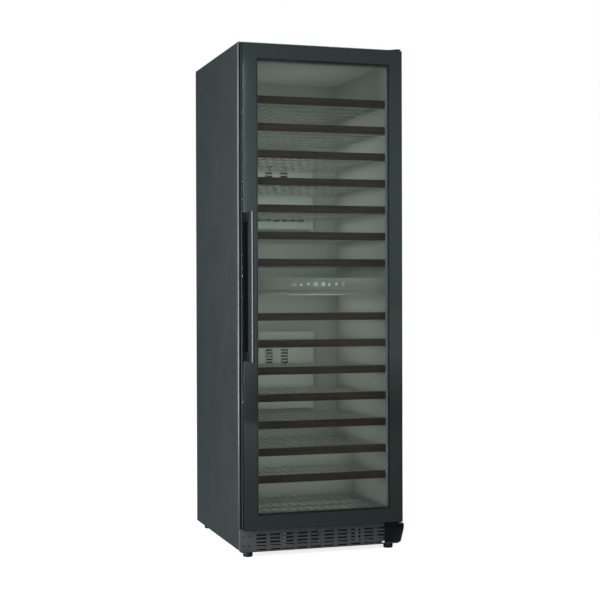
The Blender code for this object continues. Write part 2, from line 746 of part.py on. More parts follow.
def main():
    clear_scene()
    looks = make_materials()
    build_shell(looks)
    build_back_panel(looks)
    build_insulation(looks)
    build_liner(looks)
    build_divider(looks)
    build_control_panel(looks)
    build_zone_cooling(looks)
    build_base_tray(looks)
    build_feet(looks)
    build_compressor(looks)
    build_condenser(looks)
    build_drain_pan(looks)
    build_power_inlet(looks)
    build_kick_plate(looks)
    build_shelves(looks)
    build_bottom_rack(looks)
    build_door(looks)
    build_handle(looks)
    build_hinges(looks)


main()
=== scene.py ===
"""Dual-zone wine cooler: its looks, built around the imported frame. Metres, front faces -Y, +Z is up."""

from collections import Counter
import json
import math

import bmesh
import bpy
from mathutils import Matrix, Vector


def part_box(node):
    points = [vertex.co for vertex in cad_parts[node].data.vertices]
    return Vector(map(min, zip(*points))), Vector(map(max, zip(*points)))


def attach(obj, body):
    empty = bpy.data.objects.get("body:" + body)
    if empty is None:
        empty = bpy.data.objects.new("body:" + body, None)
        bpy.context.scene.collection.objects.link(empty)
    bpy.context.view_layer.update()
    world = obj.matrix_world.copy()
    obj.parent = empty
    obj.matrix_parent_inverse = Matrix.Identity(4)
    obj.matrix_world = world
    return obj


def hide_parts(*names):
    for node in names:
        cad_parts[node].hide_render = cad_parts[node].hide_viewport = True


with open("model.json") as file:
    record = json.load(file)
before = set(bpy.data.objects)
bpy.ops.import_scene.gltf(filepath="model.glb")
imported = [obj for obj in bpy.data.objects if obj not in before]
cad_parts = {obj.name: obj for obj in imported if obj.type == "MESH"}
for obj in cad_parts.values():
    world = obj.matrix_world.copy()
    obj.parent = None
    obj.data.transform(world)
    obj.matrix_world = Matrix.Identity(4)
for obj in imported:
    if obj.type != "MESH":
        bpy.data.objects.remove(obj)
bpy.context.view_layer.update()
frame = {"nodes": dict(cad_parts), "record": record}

NODES = frame["nodes"]
BODY_OF = {n: body for body, names in frame["record"]["behaviour"]["bodies"].items() for n in names}

# ---------------------------------------------------------------- places read from the frame
SHELL_LOW, SHELL_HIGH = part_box("cabinet_shell")
LINER_LOW, LINER_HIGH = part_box("inner_liner")
GLASS_LOW, GLASS_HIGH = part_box("door_glass")
FRAME_LOW, FRAME_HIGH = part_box("door_frame")
PANE_LOW, PANE_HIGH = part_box("inner_glass")
SEAL_LOW, SEAL_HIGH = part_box("door_gasket")
KICK_LOW, KICK_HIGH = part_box("kick_plate")
PANEL_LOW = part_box("control_panel")[0]
HANDLE_LOW, HANDLE_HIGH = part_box("handle")
BACK_LOW, BACK_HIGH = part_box("back_panel")
SHELVES = 14

SHEET = 0.001
LINER_WALL = 0.0015
LIP_HALF = LINER_HIGH.x + 0.0003  # half width of the opening in the shell's folded front
SILL_BOTTOM = 0.088
PRINT_HALF = 0.242  # half width of the clear window in the door's print
PRINT_BOTTOM = 0.1495
PRINT_TOP = 1.7155
COMPRESSOR_AT = (0.150, 0.245)
COMPRESSOR_R = 0.068
SLOT_ROWS, SLOT_COLUMNS = 5, 10
SLOT_WIDE, SLOT_TALL = 0.037, 0.0056
SLOT_FIRST_X, SLOT_PITCH_X = -0.2185, 0.0494
SLOT_TOP_Z, SLOT_PITCH_Z = 0.0762, 0.0124
STANDOFF_TALL = 0.034
DISPLAY_Z = 0.942
GLYPH_FIRST_X = -0.0879
GLYPH_PITCH = 0.026
MARK_PROUD, MARK_SUNK = 0.00025, 0.0002  # how far the panel's marks stand out of its face and reach in

CAMERA_AT = (-1.4476, -4.6352, 0.9194)
CAMERA_TURN = (17.47, -0.399, -0.16)  # yaw, pitch and roll in degrees
CAMERA_LENS = 78.69  # millimetres, on a sensor 36 mm wide

FLOOR_BOUNCE = (0.06, 0.065, 0.065)  # what the floor gives back to the object
FLOOR_SHEEN = (0.0, 0.15)  # what mirrors see of it, near the object and far in front
FLOOR_LIFT = 0.82  # added for the camera only, so that the floor meets the white background
BAY_LIGHT = 0.54  # radiance of the light in each bay
BAY_SHARES = [0.12, 0.8, 1.25, 1.0, 0.9, 0.95, 0.95, 1.4] + [0.68] * 7  # top to bottom
ROOM_COLOUR = (0.86, 0.97, 1.0, 1.0)
ROOM_FRONT = 0.235  # radiance of the room's brightest part in front of the door
ROOM_BACK = 0.020  # and behind the object


# ---------------------------------------------------------------- mesh helpers
def new_object(name, bm, material):
    mesh = bpy.data.meshes.new(name)
    bm.to_mesh(mesh)
    bm.free()
    mesh.materials.append(material)
    obj = bpy.data.objects.new(name, mesh)
    bpy.context.scene.collection.objects.link(obj)
    return obj


def add(name, bm, look, body, replaces=(), smooth=True):
    """A new piece from a bmesh in row-frame coordinates, riding on a body."""
    obj = new_object(name, bm, LOOKS[look])
    obj.data.polygons.foreach_set("use_smooth", [smooth] * len(obj.data.polygons))
    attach(obj, body)
    if replaces:
        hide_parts(*replaces)
    return obj


def soften(obj, width, segments=2, angle=30):
    """Rounded edges wherever two faces meet at more than `angle` degrees."""
    edge = obj.modifiers.new("soften", "BEVEL")
    edge.width = width
    edge.segments = segments
    edge.limit_method = "ANGLE"
    edge.angle_limit = math.radians(angle)
    edge.harden_normals = True
    return obj


def sharpen(obj, angle=35):
    """Smooth shading that keeps edges above `angle` degrees crisp."""
    obj.data.set_sharp_from_angle(angle=math.radians(angle))


def thicken(obj, thickness, angle=35):
    """Gives a sheet its thickness; the cut edges of the sheet stay crisp."""
    sharpen(obj, angle)
    uses = Counter(loop.edge_index for loop in obj.data.loops)
    for edge in obj.data.edges:
        if uses[edge.index] == 1:
            edge.use_edge_sharp = True
    sheet = obj.modifiers.new("thicken", "SOLIDIFY")
    sheet.thickness = thickness
    sheet.offset = -1.0
    sheet.use_even_offset = True


def block(bm, low, high, radius=0.0, segments=2):
    """A box, its edges rounded where a radius is given."""
    made = bmesh.ops.create_cube(bm, size=1.0)["verts"]
    size = Vector(high) - Vector(low)
    bmesh.ops.scale(bm, vec=size, verts=made)
    bmesh.ops.translate(bm, vec=(Vector(low) + Vector(high)) / 2, verts=made)
    if radius:
        edges = list(dict.fromkeys(edge for vert in made for edge in vert.link_edges))
        bmesh.ops.bevel(bm, geom=edges, offset=radius, segments=segments, profile=0.5, affect="EDGES")


def side_blocks(bm, inner, outer, y0, y1, z0, z1):
    """The same box at the left and at the right."""
    for x0, x1 in ((-outer, -inner), (inner, outer)):
        block(bm, (x0, y0, z0), (x1, y1, z1))


def add_block(name, low, high, look, radius=0.0):
    """A piece of the cabinet that is one box."""
    bm = bmesh.new()
    block(bm, low, high, radius)
    return add(name, bm, look, "cabinet", smooth=radius > 0)


def frame_of(direction):
    """A rotation whose Z runs along `direction`."""
    return Vector(direction).to_track_quat("Z", "Y").to_matrix().to_4x4()


def lathe(bm, profile, segments=32, at=(0, 0, 0), direction=(0, 0, 1)):
    """A solid of revolution from (radius, height) points, closed at both ends."""
    place = Matrix.Translation(at) @ frame_of(direction)
    rings = []
    for radius, height in profile:
        count = segments if radius > 0 else 1
        angles = [2 * math.pi * i / segments for i in range(count)]
        points = [Vector((radius * math.cos(a), radius * math.sin(a), height)) for a in angles]
        rings.append([bm.verts.new(place @ point) for point in points])
    for low, high in zip(rings, rings[1:]):
        for i in range(segments):
            j = (i + 1) % segments
            corners = [low[i % len(low)], low[j % len(low)], high[j % len(high)], high[i % len(high)]]
            corners = list(dict.fromkeys(corners))
            if len(corners) > 2:
                bm.faces.new(corners)
    for ring, turned in ((rings[0], True), (rings[-1], False)):
        if len(ring) > 1:
            bm.faces.new(ring[::-1] if turned else ring)


def rod(bm, start, end, radius):
    along = Vector(end) - Vector(start)
    lathe(bm, [(radius, 0), (radius, along.length)], 10, start, along)


def tube(bm, points, radius, segments=12):
    """A round tube along a smooth line of points, closed at both ends."""
    points = [Vector(p) for p in points]
    rings = []
    side = None
    for i, point in enumerate(points):
        along = points[min(i + 1, len(points) - 1)] - points[max(i - 1, 0)]
        along.normalize()
        if side is None:
            side = along.orthogonal()
        side = (side - along * side.dot(along)).normalized()
        other = along.cross(side)
        angles = [2 * math.pi * k / segments for k in range(segments)]
        spokes = [math.cos(a) * side + math.sin(a) * other for a in angles]
        rings.append([bm.verts.new(point + radius * spoke) for spoke in spokes])
    for low, high in zip(rings, rings[1:]):
        for i in range(segments):
            j = (i + 1) % segments
            bm.faces.new((low[i], low[j], high[j], high[i]))
    bm.faces.new(rings[0][::-1])
    bm.faces.new(rings[-1])


def arc(centre, radius, first, last, steps):
    """Points on an arc between two angles in degrees."""
    turns = [math.radians(first + (last - first) * i / steps) for i in range(steps + 1)]
    return [(centre[0] + radius * math.cos(t), centre[1] + radius * math.sin(t)) for t in turns]


def rounded_rect(x0, x1, z0, z1, radii, steps=5):
    """Corner points anticlockwise from the lower right, with one radius for each corner in that order."""
    centres = ((x1, z0, -1, 1, -90), (x1, z1, -1, -1, 0), (x0, z1, 1, -1, 90), (x0, z0, 1, 1, 180))
    points = []
    for (x, z, sx, sz, first), radius in zip(centres, radii):
        points += arc((x + sx * radius, z + sz * radius), radius, first, first + 90, steps)
    return points


def outward(points, closed=True):
    """The outward direction at each point of an anticlockwise line, mitred where it turns."""
    count = len(points)
    normals = []
    for i in range(count):
        before = points[(i - 1) % count] if closed or i > 0 else points[i]
        after = points[(i + 1) % count] if closed or i < count - 1 else points[i]
        here = points[i]
        turns = []
        for a, b in ((before, here), (here, after)):
            dx, dz = b[0] - a[0], b[1] - a[1]
            length = math.hypot(dx, dz)
            if length > 1e-9:
                turns.append((dz / length, -dx / length))
        x, z = sum(t[0] for t in turns), sum(t[1] for t in turns)
        mitre = min(len(turns) / math.hypot(x, z) ** 2, 1.5)
        normals.append((x * mitre, z * mitre))
    return normals


def rolled_edge(front, fold, steps):
    """The section of an edge rolled back from a flat front, as (outward offset, y) points."""
    turns = [math.pi / 2 * i / steps for i in range(steps + 1)]
    return [(-fold + fold * math.sin(t), front + fold - fold * math.cos(t)) for t in turns]


def sweep(bm, path, section, closed_path=True, closed_section=True):
    """Pulls a section of (outward offset, y) points round a line in the XZ plane."""
    normals = outward(path, closed_path)
    rings = []
    for (x, z), (nx, nz) in zip(path, normals):
        rings.append([bm.verts.new((x + nx * out, y, z + nz * out)) for out, y in section])
    pairs = list(zip(rings, rings[1:]))
    if closed_path:
        pairs.append((rings[-1], rings[0]))
    count = len(section)
    for one, two in pairs:
        for i in range(count if closed_section else count - 1):
            j = (i + 1) % count
            bm.faces.new((one[i], one[j], two[j], two[i]))
    return rings


def extruded(bm, outline, axis, low, high):
    """A closed outline pulled along Y or Z."""
    ends = [[(u, w, v) if axis == "y" else (u, v, w) for u, v in outline] for w in (low, high)]
    near, far = ([bm.verts.new(point) for point in end] for end in ends)
    faces = [bm.faces.new(near), bm.faces.new(far)]
    for i in range(len(outline)):
        j = (i + 1) % len(outline)
        faces.append(bm.faces.new((near[i], near[j], far[j], far[i])))
    bmesh.ops.recalc_face_normals(bm, faces=faces)


def screw(bm, at, direction, radius=0.0042):
    """A domed screw head with a cross recess."""
    place = Matrix.Translation(at) @ frame_of(direction)
    segments, recess = 24, 0.16
    rings = ((0.22, 0.52), (0.42, 0.50), (0.58, 0.46), (0.80, 0.36), (0.95, 0.18), (1.0, 0.0))
    last = [bm.verts.new(place @ Vector((0, 0, recess * radius)))]
    for share, height in rings:
        ring = []
        for i in range(segments):
            turn = 2 * math.pi * i / segments
            in_cross = share < 0.6 and i % 6 in (0, 1, 5) and (i % 6 == 0 or share < 0.3)
            out = share * radius
            z = (recess if in_cross else height) * radius
            ring.append(bm.verts.new(place @ Vector((out * math.cos(turn), out * math.sin(turn), z))))
        for i in range(segments):
            j = (i + 1) % segments
            corners = list(dict.fromkeys((last[i % len(last)], ring[i], ring[j], last[j % len(last)])))
            bm.faces.new(corners)
        last = ring
    bm.faces.new(last[::-1])


def node_mesh(node):
    """The CAD node's own shape, with its flat faces whole again."""
    bm = bmesh.new()
    bm.from_mesh(NODES[node].data)
    bmesh.ops.remove_doubles(bm, verts=bm.verts, dist=2e-5)
    bmesh.ops.dissolve_limit(bm, angle_limit=math.radians(1), verts=bm.verts, edges=bm.edges)
    return bm


def rebuilt(node, look, width, segments=2):
    """The CAD node's own shape with softened edges, standing for the node."""
    obj = add(f"{node}_finished", node_mesh(node), look, BODY_OF[node], [node])
    return soften(obj, width, segments)


def keep(node, look):
    """A CAD node that shows as it is, with a finished material."""
    obj = NODES[node]
    obj.data.materials.clear()
    obj.data.materials.append(LOOKS[look])


# ---------------------------------------------------------------- materials
def make_node(tree, kind, inputs, properties):
    """Adds a shader node, sets its properties, links or fills in its inputs and gives back its outputs."""
    made = tree.nodes.new(kind)
    for key, value in properties.items():
        setattr(made, key, value)
    for key, value in inputs.items():
        if isinstance(value, bpy.types.NodeSocket):
            tree.links.new(value, made.inputs[key])
        else:
            made.inputs[key].default_value = value
    return made.outputs


class Surface:
    """A Principled material and the nodes that vary it over the surface."""

    def __init__(self, name, colour, roughness, metallic=0.0, **sockets):
        self.material = bpy.data.materials.new(name)
        self.material.use_nodes = True
        self.nodes = self.material.node_tree.nodes
        self.links = self.material.node_tree.links
        self.shader = self.nodes["Principled BSDF"]
        self.last_bump = None
        values = {"Base Color": (*colour, 1.0), "Roughness": roughness, "Metallic": metallic}
        values.update({key.replace("_", " "): value for key, value in sockets.items()})
        for key, value in values.items():
            self.shader.inputs[key].default_value = value

    def node(self, kind, inputs, **properties):
        """Adds a node and gives back its outputs."""
        return make_node(self.material.node_tree, kind, inputs, properties)

    def place(self, stretch=(1, 1, 1)):
        where = self.node("ShaderNodeTexCoord", {})["Object"]
        return self.node("ShaderNodeMapping", {"Vector": where, "Scale": stretch})["Vector"]

    def noise(self, scale, detail=3.0, roughness=0.5, stretch=(1, 1, 1), distortion=0.0):
        inputs = {"Vector": self.place(stretch), "Scale": scale, "Detail": detail}
        inputs.update({"Roughness": roughness, "Distortion": distortion})
        return self.node("ShaderNodeTexNoise", inputs)["Fac"]

    def cells(self, scale):
        return self.node("ShaderNodeTexVoronoi", {"Vector": self.place(), "Scale": scale})

    def spread(self, value, low, high, start=0.0, end=1.0):
        """Maps low..high of a value to start..end, clamped."""
        inputs = {"Value": value, "From Min": low, "From Max": high, "To Min": start, "To Max": end}
        return self.node("ShaderNodeMapRange", inputs)["Result"]

    def mix(self, factor, first, second):
        inputs = {0: factor}
        for index, value in ((6, first), (7, second)):
            inputs[index] = value if isinstance(value, bpy.types.NodeSocket) else (*value, 1.0)
        return self.node("ShaderNodeMix", inputs, data_type="RGBA")[2]

    def times(self, one, two):
        return self.node("ShaderNodeMath", {0: one, 1: two}, operation="MULTIPLY")[0]

    def colour(self, socket):
        self.links.new(socket, self.shader.inputs["Base Color"])

    def between(self, value, dark, light, low=0.3, high=0.7):
        """Colours the surface from dark to light as a value goes from low to high."""
        self.colour(self.mix(self.spread(value, low, high), dark, light))

    def rough(self, factor, low, high):
        self.links.new(self.spread(factor, 0.3, 0.7, low, high), self.shader.inputs["Roughness"])

    def bump(self, height, distance, strength=1.0):
        inputs = {"Height": height, "Distance": distance, "Strength": strength}
        if self.last_bump:
            inputs["Normal"] = self.last_bump
        self.last_bump = self.node("ShaderNodeBump", inputs)["Normal"]
        self.links.new(self.last_bump, self.shader.inputs["Normal"])

    def show(self, shader):
        """Puts another shader in front of the Principled one."""
        self.links.new(shader, self.nodes["Material Output"].inputs["Surface"])


def clouded(name, dark, light, roughness, grain, depth, metallic=0.0, patches=6.0, specular=0.5):
    """A finish with slow colour and gloss changes and a fine grain."""
    middle = [(a + b) / 2 for a, b in zip(dark, light)]
    look = Surface(name, middle, roughness, metallic, Specular_IOR_Level=specular)
    look.between(look.noise(patches, 5.0), dark, light)
    look.rough(look.noise(patches * 3.1, 4.0), roughness - 0.05, roughness + 0.05)
    look.bump(look.noise(grain, 2.0), depth)
    return look.material


def paint_look():
    """Stoved paint on sheet steel: orange peel, a faint waviness of the sheet and a thin clear coat."""
    dark, light = (0.031, 0.038, 0.040), (0.035, 0.042, 0.044)
    look = Surface("anthracite_paint", dark, 0.34, Coat_Weight=0.35, Coat_Roughness=0.14)
    look.between(look.noise(1.7, 5.0), dark, light)
    look.rough(look.noise(7.0, 6.0, 0.6), 0.30, 0.38)
    look.bump(look.noise(2.2, 1.0), 0.0003)
    look.bump(look.noise(520.0, 2.0), 0.00002)
    return look.material


def pane_look(name, tint, waviness, ior=1.5):
    """Float glass that lets light through to what is behind it; an anti-glare coating has a lower index."""
    look = Surface(name, tint, 0.0, Transmission_Weight=1.0, IOR=ior)
    look.bump(look.noise(3.0, 2.0), waviness)
    shadow = look.node("ShaderNodeBsdfTransparent", {"Color": (*tint, 1.0)})[0]
    ray = look.node("ShaderNodeLightPath", {})["Is Shadow Ray"]
    look.show(look.node("ShaderNodeMixShader", {0: ray, 1: look.shader.outputs[0], 2: shadow})[0])
    return look.material


def print_look():
    """The dark mirror coating on the pane's border."""
    look = Surface("mirror_black_print", (0.255, 0.305, 0.305), 0.035, 0.97)
    look.between(look.noise(1.3, 4.0), (0.245, 0.295, 0.295), (0.265, 0.315, 0.315))
    look.rough(look.noise(2.0, 2.0), 0.03, 0.04)
    return look.material


def handle_look():
    """Black anodised bar under a clear lacquer, with faint drawing lines along its length."""
    black = (0.09, 0.10, 0.105)
    look = Surface("handle_gloss_black", black, 0.17, 0.7, Coat_Weight=0.6, Coat_Roughness=0.06)
    lines = look.noise(1.0, 4.0, 0.6, (900.0, 900.0, 7.0))
    look.between(lines, (0.085, 0.098, 0.102), (0.105, 0.118, 0.122), 0.35, 0.65)
    look.rough(lines, 0.15, 0.20)
    return look.material


def wood_look():
    """Dark-stained beech: long grain, darker pores and a thin satin lacquer."""
    look = Surface("stained_beech", (0.070, 0.047, 0.036), 0.6, Specular_IOR_Level=0.25)
    grain = look.noise(1.0, 5.0, 0.6, (5.0, 55.0, 110.0), 0.6)
    pores = look.spread(look.noise(1.0, 2.0, 0.5, (45.0, 900.0, 1300.0)), 0.60, 0.72)
    body = look.mix(look.spread(grain, 0.35, 0.65), (0.072, 0.038, 0.032), (0.140, 0.078, 0.066))
    look.colour(look.mix(pores, body, (0.024, 0.015, 0.011)))
    look.rough(grain, 0.52, 0.64)
    look.bump(grain, 0.00015)
    look.bump(pores, 0.0001, -0.6)
    return look.material


def galvanised_look():
    """Zinc-coated sheet with its crystal pattern."""
    look = Surface("galvanised_steel", (0.42, 0.43, 0.44), 0.42, 0.9)
    flake = look.node("ShaderNodeSeparateColor", {"Color": look.cells(85.0)["Color"]})["Red"]
    look.colour(look.mix(flake, (0.34, 0.35, 0.36), (0.50, 0.51, 0.52)))
    look.rough(flake, 0.34, 0.52)
    look.bump(look.noise(300.0, 2.0), 0.00002)
    return look.material


def foam_look():
    """Blown insulation with open cells where it is cut."""
    look = Surface("insulation_foam", (0.62, 0.52, 0.28), 0.9)
    cells = look.cells(420.0)["Distance"]
    look.between(cells, (0.68, 0.58, 0.33), (0.48, 0.38, 0.18), 0.1, 0.6)
    look.bump(cells, 0.0006)
    look.bump(look.noise(25.0, 3.0), 0.001)
    return look.material


def glow_look(name, colour, strength, ribs):
    """A lit lens or display with a fine ribbed diffuser."""
    light = {"Emission_Color": (*colour, 1.0), "Emission_Strength": strength}
    look = Surface(name, (0.85, 0.88, 0.92), 0.35, **light)
    inputs = {"Vector": look.place(), "Scale": ribs, "Distortion": 0.4}
    lines = look.node("ShaderNodeTexWave", inputs)["Fac"]
    look.colour(look.mix(lines, (0.80, 0.84, 0.90), (0.90, 0.93, 0.96)))
    look.bump(lines, 0.0002)
    return look.material


def fin_look():
    """Bare aluminium sheet, a little cloudy."""
    look = Surface("fin_aluminium", (0.60, 0.61, 0.62), 0.38, 1.0)
    cloud = look.noise(22.0, 6.0, 0.65)
    look.between(cloud, (0.50, 0.51, 0.52), (0.68, 0.69, 0.70))
    look.rough(cloud, 0.30, 0.50)
    look.bump(look.noise(1.0, 3.0, 0.5, (40.0, 40.0, 700.0)), 0.00003)
    return look.material


# key: name, dark, light, roughness, grain, depth of the grain, metallic, patches, specular level
FINISHES = {
    "band": ("frame_band_satin", (0.022, 0.026, 0.027), (0.028, 0.032, 0.033),
        0.42, 900.0, 0.00001, 0.0, 6.0, 0.35),
    # frame: near-black, partly the frame's black finish and partly painted shade for the groove behind the
    # pane; band is the same frame's lighter satin.
    "frame": ("frame_black_and_groove_shade", (0.005, 0.006, 0.007), (0.008, 0.009, 0.010),
        0.55, 1100.0, 0.00001, 0.0, 6.0, 0.1),
    "spacer": ("spacer_bar", (0.060, 0.062, 0.062), (0.075, 0.077, 0.077), 0.5, 800.0, 0.00001, 0.3),
    "handle_side": ("handle_side_black", (0.003, 0.0035, 0.004), (0.005, 0.006, 0.0065),
        0.5, 900.0, 0.00001, 0.0, 6.0, 0.15),
    "rubber": ("seal_rubber", (0.008, 0.008, 0.008), (0.012, 0.012, 0.012),
        0.80, 1400.0, 0.00003, 0.0, 6.0, 0.15),
    "rack": ("coated_rack_steel", (0.30, 0.31, 0.30), (0.38, 0.39, 0.38), 0.40, 700.0, 0.00002, 0.35, 9.0),
    "liner": ("liner_plastic", (0.38, 0.40, 0.38), (0.42, 0.44, 0.42), 0.46, 650.0, 0.00006, 0.0, 2.5),
    "panel": ("panel_plastic", (0.60, 0.57, 0.57), (0.66, 0.63, 0.63), 0.36, 900.0, 0.00002, 0.0, 4.0),
    "skirt": ("panel_skirt_plastic", (0.060, 0.064, 0.060), (0.075, 0.079, 0.075), 0.50, 900.0, 0.00003),
    "kick": ("kick_plate_satin", (0.076, 0.084, 0.087), (0.089, 0.097, 0.100),
        0.42, 800.0, 0.00002, 0.1, 4.0),
    "kick_back": ("kick_plate_inside", (0.030, 0.033, 0.034), (0.040, 0.043, 0.044), 0.6, 800.0, 0.00002),
    "filter": ("filter_foam", (0.006, 0.006, 0.007), (0.012, 0.012, 0.013), 0.9, 1500.0, 0.0003),
    "black": ("black_moulding", (0.014, 0.014, 0.015), (0.020, 0.020, 0.021),
        0.48, 850.0, 0.00003, 0.0, 8.0),
    "bracket": ("bracket_black_steel", (0.012, 0.013, 0.014), (0.020, 0.021, 0.022),
        0.40, 700.0, 0.00003, 0.4, 12.0),
    "screw": ("zinc_screw", (0.50, 0.51, 0.52), (0.62, 0.63, 0.64), 0.32, 900.0, 0.00002, 1.0, 60.0),
    "can": ("compressor_enamel", (0.010, 0.010, 0.011), (0.018, 0.018, 0.019),
        0.34, 260.0, 0.00008, 0.1, 10.0),
    "copper": ("copper_pipe", (0.55, 0.26, 0.16), (0.68, 0.34, 0.22), 0.34, 500.0, 0.00003, 1.0, 30.0),
    "brass": ("plated_contacts", (0.60, 0.52, 0.36), (0.70, 0.62, 0.45), 0.28, 800.0, 0.00001, 1.0, 60.0),
    "wall": ("pan_plastic", (0.20, 0.21, 0.20), (0.26, 0.27, 0.26), 0.5, 500.0, 0.00005),
}


LOOKS = {key: clouded(*finish) for key, finish in FINISHES.items()}
LOOKS.update({
    "paint": paint_look(),
    "print": print_look(),
    "outer_glass": pane_look("clear_float_glass", (0.86, 0.90, 0.88), 0.00003),
    "inner_glass": pane_look("tinted_float_glass", (0.57, 0.595, 0.565), 0.00003, 1.3),
    "handle": handle_look(),
    "wood": wood_look(),
    "galvanised": galvanised_look(),
    "foam": foam_look(),
    "fins": fin_look(),
    "lamp": glow_look("lamp_diffuser", (0.80, 0.90, 1.0), 1.2, 120.0),
    "display": glow_look("display_segments", (0.70, 0.86, 1.0), 1.6, 500.0),
    "icon": glow_look("touch_key_light", (0.85, 0.93, 1.0), 0.9, 700.0),
})


# ---------------------------------------------------------------- cabinet
def build_shell():
    """The folded steel wrap: sides and top in one sheet with rounded front edges, its front lips, and a
    black strip of painted shade on the lips for the gap behind the door.
    """
    half, top, low = SHELL_HIGH.x, SHELL_HIGH.z, SHELL_LOW.z
    front, back = SHELL_LOW.y, SHELL_HIGH.y
    corner, fold, steps = 0.0090, 0.0072, 8
    path = [(half, low)]
    path += arc((half - corner, top - corner), corner, 0, 90, steps)
    path += arc((-half + corner, top - corner), corner, 90, 180, steps)
    path += [(-half, low)]
    bm = bmesh.new()
    section = rolled_edge(front, fold, 8) + [(0.0, front + 0.060), (0.0, back)]
    sweep(bm, path, section, closed_path=False, closed_section=False)
    bmesh.ops.recalc_face_normals(bm, faces=bm.faces)
    wrap = add("shell_wrap", bm, "paint", "cabinet", ["cabinet_shell"])
    side = max(wrap.data.polygons, key=lambda face: face.area)
    if side.normal.x * side.center.x < 0:
        wrap.data.flip_normals()
    thicken(wrap, SHEET)

    bm = bmesh.new()
    thick = front + SHEET
    lip = LIP_HALF
    side_blocks(bm, lip, half - fold, front, thick, SILL_BOTTOM, top - fold)
    side_blocks(bm, half - 0.020, half - fold, front, thick, low, SILL_BOTTOM)
    block(bm, (-lip, front, LINER_HIGH.z + 0.0003), (lip, thick, top - fold))
    block(bm, (-lip, front, SILL_BOTTOM), (lip, thick, LINER_LOW.z - 0.0003))
    add("shell_front_lips", bm, "paint", "cabinet", smooth=False)

    # Painted shade: a black strip over the front lips and the inner part of the fold, standing for the
    # shade in the gap behind the door.
    bm = bmesh.new()
    y0, y1 = front - 0.00025, front + 0.0008
    outer, inner = half - fold + 0.0015, lip + 0.0005
    shade_top, shade_low = top - fold, LINER_LOW.z - 0.026
    side_blocks(bm, inner, outer, y0, y1, shade_low, shade_top)
    block(bm, (-inner, y0, LINER_HIGH.z + 0.0005), (inner, y1, shade_top))
    block(bm, (-inner, y0, shade_low), (inner, y1, LINER_LOW.z - 0.0005))
    add("gap_shade_strip", bm, "rubber", "cabinet", smooth=False)


def build_back():
    panel = rebuilt("back_panel", "paint", 0.0003, 1)
    panel.data.shade_flat()
    panel.modifiers["soften"].harden_normals = False
    bm = bmesh.new()
    reach = BACK_HIGH.x - 0.012
    heights = [BACK_LOW.z + 0.015 + (BACK_HIGH.z - BACK_LOW.z - 0.030) * i / 6 for i in range(7)]
    for z in heights:
        for side in (-1, 1):
            screw(bm, (side * reach, BACK_HIGH.y - 0.0022, z), (0, 1, 0))
    for x in (-0.14, 0.0, 0.14):
        screw(bm, (x, BACK_HIGH.y - 0.0022, BACK_HIGH.z - 0.012), (0, 1, 0))
    sharpen(add("back_screws", bm, "screw", "cabinet"), 50)


def build_inside():
    """Liner, divider, control panel, evaporators with their fan covers, and the two lamps."""
    rebuilt("inner_liner", "liner", 0.0007)
    rebuilt("zone_divider", "liner", 0.0025)
    rebuilt("upper_fan_cover", "liner", 0.0008)
    rebuilt("lower_fan_cover", "liner", 0.0008)
    for node in ("upper_evaporator", "lower_evaporator"):
        keep(node, "fins")
    keep("lower_lamp", "lamp")
    rebuilt("control_panel", "panel", 0.0012, 3)

    y0 = SHELL_LOW.y + 0.006
    ceiling = LINER_HIGH.z - LINER_WALL
    low, high = (-0.105, y0, ceiling - 0.0075), (0.105, y0 + 0.026, ceiling - 0.0002)
    add_block("upper_lamp_housing", low, high, "skirt", 0.0015)
    low, high = (-0.100, y0 + 0.003, ceiling - 0.0090), (0.100, y0 + 0.023, ceiling - 0.0070)
    add_block("upper_lamp_lens", low, high, "lamp", 0.0006)


SEGMENTS = {"1": "bc", "2": "abged", "8": "abcdefg"}


def digit(bm, value, x, z, wide, tall, face):
    """A seven-segment digit centred on (x, z), standing just proud of the face."""
    bar = 0.0013
    w, t = wide / 2, tall / 2
    spans = {
        "a": ((-w, t - bar), (w, t)),
        "g": ((-w, -bar / 2), (w, bar / 2)),
        "d": ((-w, -t), (w, -t + bar)),
        "b": ((w - bar, 0.0), (w, t)),
        "c": ((w - bar, -t), (w, 0.0)),
        "f": ((-w, 0.0), (-w + bar, t)),
        "e": ((-w, -t), (-w + bar, 0.0)),
    }
    for name in SEGMENTS[value]:
        (x0, z0), (x1, z1) = spans[name]
        gap = 0.00018
        mark(bm, x + x0 + gap, x + x1 - gap, z + z0 + gap, z + z1 - gap, face)


def mark(bm, x0, x1, z0, z1, face):
    """A straight stroke on the panel's face."""
    block(bm, (x0, face - MARK_PROUD, z0), (x1, face + MARK_SUNK, z1))


def symbol(bm, outline, face):
    extruded(bm, outline, "y", face - MARK_PROUD, face + MARK_SUNK)


def open_ring(bm, x, z, outer, inner, first, last, steps, face):
    """A ring on the panel's face that runs from one angle to another."""
    outline = arc((x, z), outer, first, last, steps) + arc((x, z), inner, last, first, steps)
    symbol(bm, outline, face)


